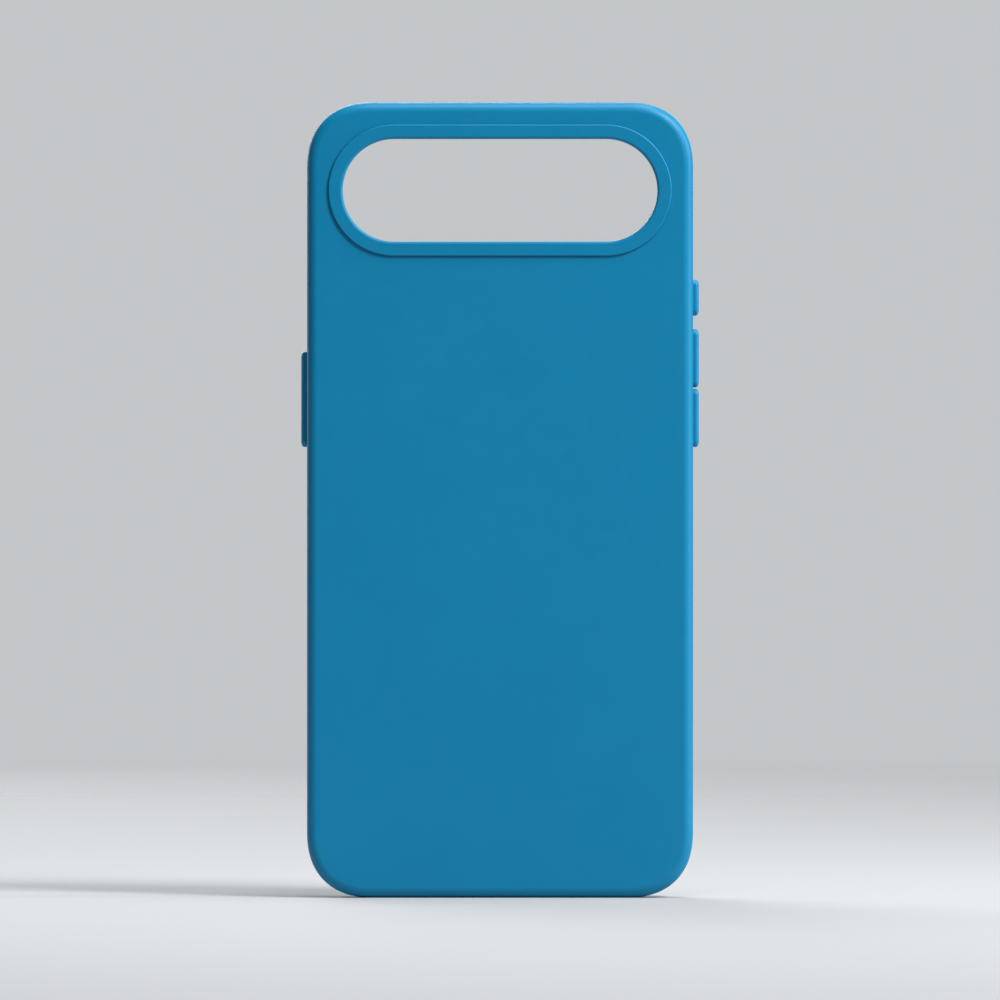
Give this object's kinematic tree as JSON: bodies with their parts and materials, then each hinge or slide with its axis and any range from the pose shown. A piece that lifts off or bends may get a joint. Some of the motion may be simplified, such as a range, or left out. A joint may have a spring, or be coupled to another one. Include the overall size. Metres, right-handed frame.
{
  "type": "phone case",
  "caption": "Slim soft-touch phone case with a raised camera-window rim, a lip round the screen, press keys on both sides, a microfibre lining and hidden charger magnets.",
  "frame": {"origin": "centre of the lining's floor, where the phone's back rests", "axes": "+Z towards the camera end, +Y out of the open front, +X towards the action and volume keys; the outer back faces -Y"},
  "size_m": [0.0796, 0.0095, 0.159],
  "materials": {
    "silicone": "satin",
    "polycarbonate": "satin",
    "microfibre": "matte",
    "acetal": "satin",
    "seal_foam": "matte",
    "nickel_plate": "satin"
  },
  "bodies": {
    "case_body": {"silicone_shell": "silicone", "inner_frame": "polycarbonate", "microfibre_lining": "microfibre", "camera_ring": "silicone", "power_seal": "seal_foam", "action_seal": "seal_foam", "volume_seal": "seal_foam", "ring_magnet_01": "nickel_plate", "ring_magnet_02": "nickel_plate", "ring_magnet_03": "nickel_plate", "ring_magnet_04": "nickel_plate", "ring_magnet_05": "nickel_plate", "ring_magnet_06": "nickel_plate", "ring_magnet_07": "nickel_plate", "ring_magnet_08": "nickel_plate", "ring_magnet_09": "nickel_plate", "ring_magnet_10": "nickel_plate", "ring_magnet_11": "nickel_plate", "ring_magnet_12": "nickel_plate", "ring_magnet_13": "nickel_plate", "ring_magnet_14": "nickel_plate", "ring_magnet_15": "nickel_plate", "ring_magnet_16": "nickel_plate", "ring_magnet_17": "nickel_plate", "ring_magnet_18": "nickel_plate", "bar_magnet": "nickel_plate"},
    "power_key": {"power_cap": "silicone", "power_plunger": "acetal"},
    "action_key": {"action_cap": "silicone", "action_plunger": "acetal"},
    "volume_up_key": {"volume_up_cap": "silicone", "volume_up_plunger": "acetal"},
    "volume_down_key": {"volume_down_cap": "silicone", "volume_down_plunger": "acetal"}
  },
  "joints": [
    {"name": "power_press", "type": "slide", "parent": "case_body", "child": "power_key", "axis": [1, 0, 0], "range_m": [0, 0.00035], "stiffness_N_per_m": 1500},
    {"name": "action_press", "type": "slide", "parent": "case_body", "child": "action_key", "axis": [-1, 0, 0], "range_m": [0, 0.00035], "stiffness_N_per_m": 1500},
    {"name": "volume_up_press", "type": "slide", "parent": "case_body", "child": "volume_up_key", "axis": [-1, 0, 0], "range_m": [0, 0.00035], "stiffness_N_per_m": 1500},
    {"name": "volume_down_press", "type": "slide", "parent": "case_body", "child": "volume_down_key", "axis": [-1, 0, 0], "range_m": [0, 0.00035], "stiffness_N_per_m": 1500}
  ]
}
